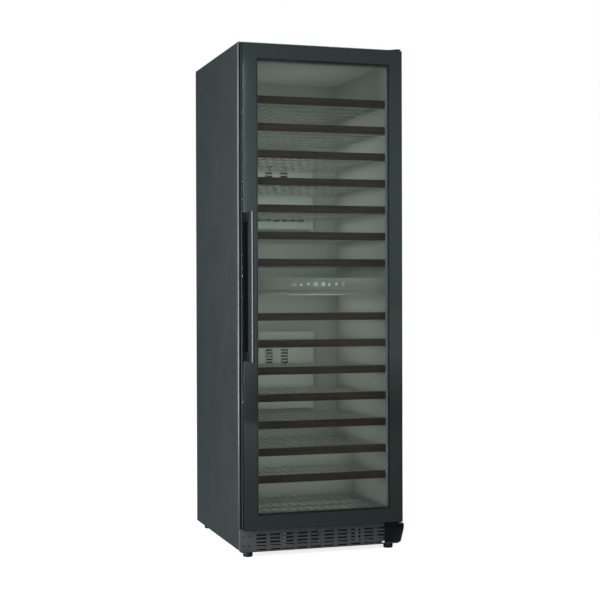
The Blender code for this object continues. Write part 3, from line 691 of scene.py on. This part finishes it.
def build_symbols():
    """Two lit temperature displays between touch symbols: power, up, down, and up, down, lamp."""
    face = PANEL_LOW.y
    places = [GLYPH_FIRST_X + GLYPH_PITCH * i for i in range(8)]
    size = 0.0048
    lit = bmesh.new()
    for x, pair in ((places[3], "12"), (places[4], "18")):
        for side, value in zip((-1, 1), pair):
            digit(lit, value, x + side * 0.0047, DISPLAY_Z, 0.0066, 0.0128, face)
    add("temperature_displays", lit, "display", "cabinet", smooth=False)

    bm = bmesh.new()
    for x, way in ((places[1], 1), (places[2], -1), (places[5], 1), (places[6], -1)):
        symbol(bm, [(x - size, DISPLAY_Z - way * size * 0.8), (x + size, DISPLAY_Z - way * size * 0.8),
                    (x, DISPLAY_Z + way * size * 0.9)], face)
    x = places[0]
    open_ring(bm, x, DISPLAY_Z, size, size * 0.76, 120, 420, 20, face)
    mark(bm, x - 0.0006, x + 0.0006, DISPLAY_Z + 0.0005, DISPLAY_Z + size * 1.15, face)
    x = places[7]
    open_ring(bm, x, DISPLAY_Z + 0.001, size * 0.8, size * 0.56, -50, 230, 18, face)
    for row in range(2):
        z = DISPLAY_Z - 0.0036 - 0.0016 * row
        mark(bm, x - 0.0018, x + 0.0018, z, z + 0.0009, face)
    add("touch_symbols", bm, "icon", "cabinet", smooth=False)


def build_kick_plate():
    """Pressed plinth with round-ended slots, rounded lower corners and turned-back edges."""
    fold = 0.0022
    radii = (0.0110, 0.0030, 0.0030, 0.0110)
    outline = rounded_rect(KICK_LOW.x, KICK_HIGH.x, KICK_LOW.z, KICK_HIGH.z, radii)
    front = KICK_LOW.y
    section = rolled_edge(front, fold, 4) + [(0.0, KICK_HIGH.y)]
    bm = bmesh.new()
    rings = sweep(bm, outline, section, closed_section=False)
    loops = [[ring[0] for ring in rings]]
    r = SLOT_TALL / 2
    reach = SLOT_WIDE / 2 - r
    for row in range(SLOT_ROWS):
        z = SLOT_TOP_Z - SLOT_PITCH_Z * row
        for column in range(SLOT_COLUMNS):
            x = SLOT_FIRST_X + SLOT_PITCH_X * column
            ends = arc((x + reach, z), r, -90, 90, 6) + arc((x - reach, z), r, 90, 270, 6)
            loops.append([bm.verts.new((u, front, v)) for u, v in ends])
    edges = []
    for loop in loops:
        for a, b in zip(loop, loop[1:] + loop[:1]):
            edges.append(bm.edges.get((a, b)) or bm.edges.new((a, b)))
    bmesh.ops.triangle_fill(bm, use_beauty=True, use_dissolve=False, edges=edges, normal=(0, -1, 0))
    bmesh.ops.recalc_face_normals(bm, faces=bm.faces)
    plate = add("kick_plate_pressed", bm, "kick", "cabinet", ["kick_plate"])
    flat = min(plate.data.polygons, key=lambda face: face.center.y)
    if flat.normal.y > 0:
        plate.data.flip_normals()
    thicken(plate, 0.0015, 40)

    back = KICK_HIGH.y
    low, high = (-0.235, back - 0.0015, KICK_LOW.z + 0.0002), (0.235, back + 0.030, KICK_LOW.z + 0.0016)
    add_block("kick_plate_flange", low, high, "kick_back")
    low, high = (-0.232, back + 0.004, KICK_LOW.z + 0.0040), (0.232, back + 0.010, KICK_HIGH.z - 0.004)
    add_block("air_filter", low, high, "filter")

    bm = bmesh.new()
    for x in (-0.2835, -0.2650):
        for z in (0.0415, 0.0740):
            screw(bm, (x, front + 0.0003, z), (0, -1, 0), 0.0030)
    sharpen(add("kick_plate_screws", bm, "bracket", "cabinet"), 50)


def build_feet():
    """Levelling feet: ribbed pad, hexagon for a spanner and a threaded stem."""
    for place in ("front_left", "front_right", "rear_left", "rear_right"):
        node = f"foot_{place}"
        low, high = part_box(node)
        at = ((low.x + high.x) / 2, (low.y + high.y) / 2, 0.0)
        bm = bmesh.new()
        profile = [(0.0, 0.0), (0.0142, 0.0), (0.0156, 0.0004), (0.0167, 0.0018), (0.0170, 0.0034)]
        for rib in range(4):
            z = 0.0044 + 0.0018 * rib
            profile += [(0.0170, z), (0.0164, z + 0.0004), (0.0164, z + 0.0010), (0.0170, z + 0.0014)]
        profile += [(0.0169, 0.0125), (0.0160, 0.0146), (0.0146, 0.0164), (0.0095, 0.0172), (0.0, 0.0172)]
        lathe(bm, profile, 40, at)
        pad = add(f"{node}_pad", bm, "black", node, [node])
        sharpen(pad, 40)
        bm = bmesh.new()
        lathe(bm, [(0.0082, 0.0171), (0.0086, 0.0176), (0.0086, 0.0230), (0.0082, 0.0235)], 6, at)
        thread = [(0.0049, 0.0234)]
        for turn in range(14):
            z = 0.0242 + 0.0015 * turn
            thread += [(0.0049, z), (0.0043, z + 0.00075)]
        thread += [(0.0049, 0.0455), (0.0040, 0.0460)]
        lathe(bm, thread, 20, at)
        sharpen(add(f"{node}_stem", bm, "screw", node), 20)


def build_hinges():
    """Two black steel brackets and the dark screws that hold them to the cabinet's front."""
    rebuilt("top_hinge", "bracket", 0.0005)
    rebuilt("bottom_hinge", "bracket", 0.0005)
    bm = bmesh.new()
    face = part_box("bottom_hinge")[1].y - 0.0025
    for x in (0.252, 0.279):
        for z in (0.040, 0.073):
            screw(bm, (x, face + 0.0002, z), (0, -1, 0), 0.0036)
    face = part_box("top_hinge")[1].y - 0.0030
    for x in (0.249, 0.267):
        screw(bm, (x, face + 0.0002, 1.7615), (0, -1, 0), 0.0034)
    sharpen(add("hinge_screws", bm, "bracket", "cabinet"), 50)


def build_insulation():
    """The foam block, its outer edges cut back to lie inside the rounded sheet."""
    node, cut_back = "insulation", 0.006
    low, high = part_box(node)
    bm = node_mesh(node)

    def outer_faces(vert):
        depths = (vert.co.y - low.y, high.z - vert.co.z, high.x - abs(vert.co.x))
        return {number for number, depth in enumerate(depths) if depth < 0.0001}

    edges = [edge for edge in bm.edges if len(outer_faces(edge.verts[0]) & outer_faces(edge.verts[1])) > 1]
    bmesh.ops.bevel(bm, geom=edges, offset=cut_back, segments=1, affect="EDGES")
    add("foam_block", bm, "foam", "cabinet", [node], smooth=False)


def build_machine():
    """The foam, and the machine compartment: tray, condenser, pan, compressor and mains inlet."""
    keep("base_tray", "galvanised")
    build_insulation()
    rebuilt("condenser", "galvanised", 0.0004, 1)
    rebuilt("drain_pan", "wall", 0.0006)
    build_compressor()
    build_inlet()


def build_compressor():
    """Two pressed halves with a welded seam on a foot plate, with its relay, grommets and pipe."""
    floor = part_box("compressor")[0].z
    x, y = COMPRESSOR_AT
    radius = COMPRESSOR_R
    bm = bmesh.new()
    block(bm, (x - 0.078, y - 0.060, floor + 0.0005), (x + 0.078, y + 0.060, floor + 0.0035), 0.001)
    can = [(0.0, 0.0035), (0.80, 0.004), (0.93, 0.009), (0.97, 0.016)]
    seam = [(0.97, 0.080), (1.0, 0.082), (1.0, 0.092), (0.97, 0.094)]
    dome = [(0.96, 0.118), (0.93, 0.132), (0.86, 0.144), (0.74, 0.154), (0.55, 0.162), (0.30, 0.166)]
    profile = [(radius * share, floor + z) for share, z in can + seam + dome + [(0.0, 0.1675)]]
    lathe(bm, profile, 48, (x, y, 0.0))
    sharpen(add("compressor_can", bm, "can", "cabinet", ["compressor"]), 40)
    bm = bmesh.new()
    block(bm, (x - 0.030, y - 0.088, floor + 0.040), (x + 0.030, y - 0.050, floor + 0.080), 0.003, 3)
    add("compressor_relay_cover", bm, "black", "cabinet")
    bm = bmesh.new()
    grommet = [(0.0085, 0.0002), (0.0095, 0.0015), (0.0070, 0.0035), (0.0095, 0.0058), (0.0070, 0.0072)]
    grommet.append((0.0, 0.0072))
    for sx in (-1, 1):
        for sy in (-1, 1):
            lathe(bm, grommet, 20, (x + sx * 0.068, y + sy * 0.050, floor))
    sharpen(add("compressor_grommets", bm, "rubber", "cabinet"), 50)
    bm = bmesh.new()
    start = Vector((x - 0.050, y, floor + 0.100))
    line = [start + Vector((-0.012 * i, 0, 0)) for i in range(3)]
    bend = 0.016
    quarter = [math.pi / 2 * i / 6 for i in range(1, 7)]
    line += [start + Vector((-0.034 - bend * math.sin(t), 0.0, bend - bend * math.cos(t))) for t in quarter]
    line += [Vector((line[-1].x, y, floor + z)) for z in (0.130, 0.150, 0.168)]
    turn = line[-1].copy()
    line += [turn + Vector((-bend + bend * math.cos(t), 0.0, bend * math.sin(t))) for t in quarter]
    line += [Vector((px, y, line[-1].z)) for px in (-0.02, -0.09, -0.150)]
    tube(bm, line, 0.0032)
    sharpen(add("discharge_pipe", bm, "copper", "cabinet"), 50)


def build_inlet():
    """The mains inlet and its three pins."""
    rebuilt("power_inlet", "black", 0.0008)
    low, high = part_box("power_inlet")
    bm = bmesh.new()
    cx, cz = (low.x + high.x) / 2, (low.z + high.z) / 2
    for dx, dz in ((-0.007, -0.002), (0.007, -0.002), (0.0, 0.0025)):
        x, z = cx + dx, cz + dz
        block(bm, (x - 0.001, high.y - 0.0185, z - 0.002), (x + 0.001, high.y - 0.004, z + 0.002), 0.0004)
    add("inlet_pins", bm, "brass", "cabinet")


def build_fans():
    for node in ("upper_fan", "lower_fan", "condenser_fan"):
        rebuilt(node, "black", 0.0003, 1)


# ---------------------------------------------------------------- shelves
def wire_rack(bm, low, high, bars):
    """Flat side rails with round rods across and round wires from front to back on top of them."""
    wires = 15
    rail, rod_r, wire_r = 0.008, 0.0025, 0.0023
    for x0, x1 in ((low.x, low.x + rail), (high.x - rail, high.x)):
        block(bm, (x0, low.y, low.z), (x1, high.y, high.z), 0.0014)
    for i in range(bars):
        y = low.y + 0.004 + (high.y - low.y - 0.008) * i / (bars - 1)
        rod(bm, (low.x + 0.002, y, low.z + rod_r), (high.x - 0.002, y, low.z + rod_r), rod_r)
    for i in range(wires):
        x = low.x + (high.x - low.x) * (i + 1) / (wires + 1)
        z = low.z + 2 * rod_r + wire_r - 0.0002
        rod(bm, (x, low.y + 0.0005, z), (x, high.y - 0.0005, z), wire_r)


def build_shelves():
    for number in range(1, SHELVES + 1):
        body = f"shelf_{number:02d}"
        low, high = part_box(f"{body}_rack")
        bm = bmesh.new()
        wire_rack(bm, low, high, 6 if high.y > 0.2 else 4)
        sharpen(add(f"{body}_wires", bm, "rack", body, [f"{body}_rack"]), 40)
        low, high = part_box(f"{body}_fascia")
        bm = bmesh.new()
        block(bm, low, high, 0.0022, 3)
        sharpen(add(f"{body}_front", bm, "wood", body, [f"{body}_fascia"]), 50)


def build_bottom_rack():
    low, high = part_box("bottom_rack")
    thick = 0.010
    bm = bmesh.new()
    wire_rack(bm, Vector((low.x, low.y, high.z - thick)), high, 4)
    for side in (low.x + 0.004, high.x - 0.004):
        for i in range(4):
            y = low.y + 0.004 + (high.y - low.y - 0.008) * i / 3
            rod(bm, (side, y, low.z), (side, y, high.z - thick + 0.002), 0.003)
    sharpen(add("bottom_rack_wires", bm, "rack", "cabinet", ["bottom_rack"]), 40)


# ---------------------------------------------------------------- door
def add_pane(name, node, glass):
    """A sheet of glass with rounded corners and ground edges."""
    low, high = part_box(node)
    bm = bmesh.new()
    extruded(bm, rounded_rect(low.x, high.x, low.z, high.z, (0.003,) * 4, 4), "y", low.y, high.y)
    soften(add(name, bm, glass, "door", [node]), 0.0006, 2, 50)


def build_door():
    add_pane("door_pane", "door_glass", "outer_glass")
    build_print()
    build_door_frame()
    build_spacer()
    add_pane("inner_pane", "inner_glass", "inner_glass")
    build_gasket()
    build_handle()


def build_print():
    """The coating on the outer pane's border: a thin skin on its front."""
    bm = bmesh.new()
    inset = 0.0009
    steps = 5
    x0, x1, z0, z1 = GLASS_LOW.x + inset, GLASS_HIGH.x - inset, GLASS_LOW.z + inset, GLASS_HIGH.z - inset
    outer = rounded_rect(x0, x1, z0, z1, (0.0025,) * 4, steps)
    inner = rounded_rect(-PRINT_HALF, PRINT_HALF, PRINT_BOTTOM, PRINT_TOP, (0.002,) * 4, steps)
    near, far = GLASS_LOW.y - 0.00018, GLASS_LOW.y - 0.00003
    edges = ((outer, near), (inner, near), (inner, far), (outer, far))
    loops = [[bm.verts.new((x, y, z)) for x, z in loop] for loop, y in edges]
    for one, two in zip(loops, loops[1:] + loops[:1]):
        for i in range(len(outer)):
            j = (i + 1) % len(outer)
            bm.faces.new((one[i], one[j], two[j], two[i]))
    bmesh.ops.recalc_face_normals(bm, faces=bm.faces)
    add("door_print", bm, "print", "door", smooth=False)


def build_spacer():
    """The grooved bar between the two panes, near the inner pane's edge."""
    bm = bmesh.new()
    rebate = 0.008
    half, low, high = PANE_HIGH.x - rebate, PANE_LOW.z + rebate, PANE_HIGH.z - rebate
    y0, y1 = FRAME_LOW.y + 0.0006, PANE_LOW.y - 0.0006
    path = rounded_rect(-half, half, low, high, (0.002,) * 4, 3)
    deep = 0.0014
    groove = 0.0006
    middle = (y0 + y1) / 2
    section = [(0.0, y0), (-deep, y0), (-deep, middle - 0.0045), (-deep + groove, middle - 0.0038),
               (-deep + groove, middle + 0.0038), (-deep, middle + 0.0045), (-deep, y1), (0.0, y1)]
    sweep(bm, path, section)
    bmesh.ops.recalc_face_normals(bm, faces=bm.faces)
    sharpen(add("pane_spacer", bm, "spacer", "door"))


def build_door_frame():
    """The door's profile: a shadow groove behind the pane, a satin band and a set-back plastic rear. The
    profile's near-black colour is partly its black finish and partly painted shade for the groove.
    """
    node = "door_frame"
    groove_front, groove_back = FRAME_LOW.y + 0.0012, FRAME_LOW.y + 0.0100
    band_back = FRAME_LOW.y + 0.0225
    slope, inset, edge = 0.0006, 0.0030, 0.0001
    bm = node_mesh(node)
    groove = (groove_front, groove_front + slope, groove_back - slope, groove_back)
    for y in groove + (band_back, band_back + slope):
        everything = bm.verts[:] + bm.edges[:] + bm.faces[:]
        bmesh.ops.bisect_plane(bm, geom=everything, plane_co=(0, y, 0), plane_no=(0, 1, 0))
    for vert in bm.verts:
        x, y, z = vert.co
        in_groove = groove_front + slope / 2 < y < groove_back - slope / 2
        if not in_groove and y < band_back + slope / 2:
            continue
        if abs(x) > FRAME_HIGH.x - edge:
            vert.co.x -= math.copysign(inset, x)
        if z > FRAME_HIGH.z - edge:
            vert.co.z -= inset
        elif z < FRAME_LOW.z + edge:
            vert.co.z += inset
    # Painted shade: the whole profile takes the near-black finish so that the groove reads as shaded; the
    # band keeps the lighter satin.
    sharpen(add("door_frame_profile", bm, "frame", "door", [node]), 25)

    bm = bmesh.new()
    y0, y1 = groove_back + 0.0003, band_back - 0.0003
    half, low, high = FRAME_HIGH.x, FRAME_LOW.z, FRAME_HIGH.z
    proud, deep, past_pin = 0.0002, 0.0004, 0.270
    side_blocks(bm, half - deep, half + proud, y0, y1, low, high)
    for z, way in ((low, -1), (high, 1)):
        z0, z1 = sorted((z + way * proud, z - way * deep))
        block(bm, (-half, y0, z0), (past_pin, y1, z1))
    add("door_frame_band", bm, "band", "door", smooth=False)


def build_gasket():
    """Magnetic seal: a foot clipped to the door, two bellows folds and the flat magnet sleeve."""
    wide = 0.013
    path = rounded_rect(SEAL_LOW.x, SEAL_HIGH.x, SEAL_LOW.z, SEAL_HIGH.z, (0.004,) * 4, 4)
    y0, y1 = SEAL_LOW.y, SEAL_HIGH.y
    deep = y1 - y0
    folds = ((0.0015, 0.0), (0.0010, 0.18), (0.0026, 0.34), (0.0008, 0.50), (0.0022, 0.62), (0.0004, 0.70))
    side = [(inset, y0 + deep * share) for inset, share in folds] + [(0.0004, y1 - 0.0004), (0.0010, y1)]
    section = [(inset - wide, y) for inset, y in side] + [(-inset, y) for inset, y in reversed(side)]
    bm = bmesh.new()
    sweep(bm, path, section)
    bmesh.ops.recalc_face_normals(bm, faces=bm.faces)
    sharpen(add("gasket_bellows", bm, "rubber", "door", ["door_gasket"]), 50)


def build_handle():
    """Straight black bar with a polished, slightly crowned face, on two block stand-offs."""
    low, high = HANDLE_LOW, HANDLE_HIGH
    deep, crown, corner, round_back = 0.015, 0.0024, 0.0006, 0.0022
    back = low.y + deep
    seat = low.y + crown
    middle = (low.x + high.x) / 2
    outline = [(high.x - corner, seat), (high.x, seat + corner)]
    outline += arc((high.x - round_back, back - round_back), round_back, 0, 90, 4)
    outline += arc((low.x + round_back, back - round_back), round_back, 90, 180, 4)
    outline += [(low.x, seat + corner), (low.x + corner, seat)]
    bm = bmesh.new()
    extruded(bm, outline, "z", low.z, high.z)
    bar = add("handle_bar", bm, "handle_side", "door", ["handle"])
    soften(bar, 0.0004, 2, 60)
    sharpen(bar, 30)

    bm = bmesh.new()
    reach = (high.x - low.x) / 2 - corner
    off_centre = 0.0015
    longer = reach + off_centre
    radius = (longer * longer + crown * crown) / (2 * crown)
    first = math.degrees(math.asin(longer / radius))
    last = math.degrees(math.asin((reach - off_centre) / radius))
    face = arc((middle + off_centre, low.y + radius), radius, 270 - first, 270 + last, 16)
    face += [(middle + reach, seat + 0.0002), (middle - reach, seat + 0.0002)]
    extruded(bm, face, "z", low.z + 0.0006, high.z - 0.0006)
    sharpen(add("handle_face", bm, "handle", "door"), 30)

    bm = bmesh.new()
    for z in (low.z + 0.0015, high.z - STANDOFF_TALL):
        top = z + STANDOFF_TALL - 0.0015
        block(bm, (low.x + 0.0020, back - 0.0008, z), (high.x - 0.0020, high.y, top), 0.0012, 3)
    add("handle_standoffs", bm, "frame", "door")


# ---------------------------------------------------------------- studio
def build_floor():
    """A pale floor: white to the camera, dull grey to what it lights, bright as the room in mirrors."""
    bm = bmesh.new()
    bmesh.ops.create_grid(bm, x_segments=24, y_segments=24, size=60.0)
    look = Surface("studio_floor", (0.60, 0.60, 0.60), 0.9, Specular_IOR_Level=0.1)
    ray = look.node("ShaderNodeLightPath", {})
    seen = ray["Is Camera Ray"]
    cloud = look.mix(look.spread(look.noise(0.8, 3.0), 0.3, 0.7), (0.58, 0.58, 0.58), (0.62, 0.62, 0.62))
    look.colour(look.mix(seen, FLOOR_BOUNCE, cloud))
    away = look.node("ShaderNodeVectorMath", {0: look.place()}, operation="LENGTH")["Value"]
    lift = look.times(seen, look.spread(away, 0.8, 4.5, FLOOR_LIFT, 1.0))
    ahead = look.node("ShaderNodeSeparateXYZ", {0: look.place()})["Y"]
    sheen = look.times(ray["Is Glossy Ray"], look.spread(ahead, -1.0, -13.0, *FLOOR_SHEEN))
    both = look.node("ShaderNodeMath", {0: lift, 1: sheen}, operation="ADD")[0]
    glow = look.node("ShaderNodeEmission", {"Color": (1, 1, 1, 1), "Strength": both})[0]
    look.show(look.node("ShaderNodeAddShader", {0: look.shader.outputs[0], 1: glow})[0])
    new_object("floor", bm, look.material)


def area_light(name, at, towards, wide, tall, radiance, colour, hidden=False):
    """A soft box of the given radiance, facing `towards`."""
    light = bpy.data.lights.new(name, "AREA")
    light.shape = "RECTANGLE"
    light.size = wide
    light.size_y = tall
    light.energy = math.pi * wide * tall * radiance
    light.color = colour
    obj = bpy.data.objects.new(name, light)
    obj.location = at
    obj.rotation_euler = (Vector(towards) - Vector(at)).to_track_quat("-Z", "Y").to_euler()
    bpy.context.scene.collection.objects.link(obj)
    obj.visible_camera = False
    if hidden:
        obj.visible_glossy = False
        obj.visible_transmission = False


def build_bay_lights():
    """The cooler's own light: it fills every bay evenly, from above and from below."""
    racks = [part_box(f"shelf_{number:02d}_rack") for number in range(1, SHELVES + 1)]
    ceilings = [LINER_HIGH.z - 0.014] + [low.z for low, _ in racks]
    racks.append(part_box("bottom_rack"))
    ceilings[SHELVES // 2] = PANEL_LOW.z - 0.016
    for number, ((low, high), ceiling, share) in enumerate(zip(racks, ceilings, BAY_SHARES), 1):
        middle = (low.y + high.y + 0.010) / 2
        deep = high.y - low.y - 0.025
        bottom, top = high.z + 0.003, ceiling - 0.003
        for name, at, towards in (("down", top, bottom), ("up", bottom, top)):
            area_light(f"bay_{number}_{name}", (0.0, middle, at), (0.0, middle, towards), 0.46, deep,
                       BAY_LIGHT * share, (0.98, 1.0, 0.97), hidden=True)


COOL = (0.93, 0.98, 1.0)
NEUTRAL = (1.0, 1.0, 1.0)
# name, place, aim, width, height, radiance, colour
SOFT_BOXES = (
    ("key", (-2.6, -3.8, 3.0), (0.0, -0.2, 1.0), 2.2, 2.2, 4.5, NEUTRAL),
    ("edge_strip", (-3.15, -0.95, 1.2), (-0.29, -0.26, 1.2), 0.8, 2.3, 24.0, COOL),
    ("side_low", (-2.4, 0.6, 0.45), (-0.30, 0.05, 0.3), 1.0, 0.7, 6.5, COOL),
    ("front_strip", (0.30, -4.92, 1.2), (-0.27, -0.36, 0.95), 1.2, 2.6, 4.3, NEUTRAL),
    ("top", (0.2, 0.0, 4.2), (0.0, 0.0, 0.0), 3.5, 3.5, 1.5, NEUTRAL),
    ("fill", (3.4, -2.4, 1.6), (0.0, 0.0, 0.9), 1.8, 1.8, 1.0, NEUTRAL),
    ("back_left", (-3.0, 2.8, 1.2), (0.0, 0.0, 0.9), 1.6, 2.4, 0.6, NEUTRAL),
    ("back_right", (2.8, 3.2, 2.2), (0.0, 0.0, 0.9), 1.6, 1.6, 2.5, NEUTRAL),
)


def build_lights():
    for soft_box in SOFT_BOXES:
        area_light(*soft_box)
    build_bay_lights()


def build_world():
    """White where the camera looks past the object; elsewhere a grey room, brightest in front."""
    world = bpy.data.worlds.new("studio")
    world.use_nodes = True
    bpy.context.scene.world = world
    world.node_tree.nodes.clear()

    def node(kind, inputs, **properties):
        return make_node(world.node_tree, kind, inputs, properties)

    def spread(value, low, high, start, end):
        inputs = {"Value": value, "From Min": low, "From Max": high, "To Min": start, "To Max": end}
        return node("ShaderNodeMapRange", inputs, interpolation_type="SMOOTHSTEP")["Result"]

    def maths(operation, one, two):
        return node("ShaderNodeMath", {0: one, 1: two}, operation=operation)["Value"]

    where = node("ShaderNodeTexCoord", {})["Generated"]
    x, y, z = (node("ShaderNodeSeparateXYZ", {"Vector": where})[axis] for axis in "XYZ")
    across = maths("MULTIPLY", spread(x, -0.18, 0.14, 0.18, 1.0), spread(x, 0.10, 0.46, 1.0, 0.60))
    off_centre = maths("ABSOLUTE", maths("SUBTRACT", z, 0.05), 0.0)
    upward = spread(off_centre, 0.0, 0.24, 1.0, 0.40)
    patch = maths("MULTIPLY", maths("MULTIPLY", across, upward), ROOM_FRONT)
    facing = spread(y, -0.65, 0.25, 0.0, 1.0)
    behind = maths("MULTIPLY", facing, ROOM_BACK)
    ahead = maths("MULTIPLY", maths("SUBTRACT", 1.0, facing), patch)
    room = node("ShaderNodeBackground", {"Color": ROOM_COLOUR, "Strength": maths("ADD", ahead, behind)})
    white = node("ShaderNodeBackground", {"Color": (1, 1, 1, 1)})
    seen = node("ShaderNodeLightPath", {})["Is Camera Ray"]
    both = node("ShaderNodeMixShader", {0: seen, 1: room["Background"], 2: white["Background"]})
    node("ShaderNodeOutputWorld", {"Surface": both["Shader"]})


def build_camera():
    data = bpy.data.cameras.new("camera")
    data.sensor_width = 36.0
    data.lens = CAMERA_LENS
    data.clip_end = 100.0
    camera = bpy.data.objects.new("camera", data)
    yaw, pitch, roll = (math.radians(degrees) for degrees in CAMERA_TURN)
    turn = Matrix.Rotation(-yaw, 4, "Z") @ Matrix.Rotation(math.pi / 2 + pitch, 4, "X")
    turn = turn @ Matrix.Rotation(roll, 4, "Z")
    camera.matrix_world = Matrix.Translation(CAMERA_AT) @ turn
    bpy.context.scene.collection.objects.link(camera)
    bpy.context.scene.camera = camera


def main():
    build_shell()
    build_back()
    build_inside()
    build_symbols()
    build_kick_plate()
    build_feet()
    build_hinges()
    build_machine()
    build_fans()
    build_shelves()
    build_bottom_rack()
    build_door()
    build_floor()
    build_lights()
    build_world()
    build_camera()
    bpy.context.scene.view_settings.view_transform = "Standard"


main()
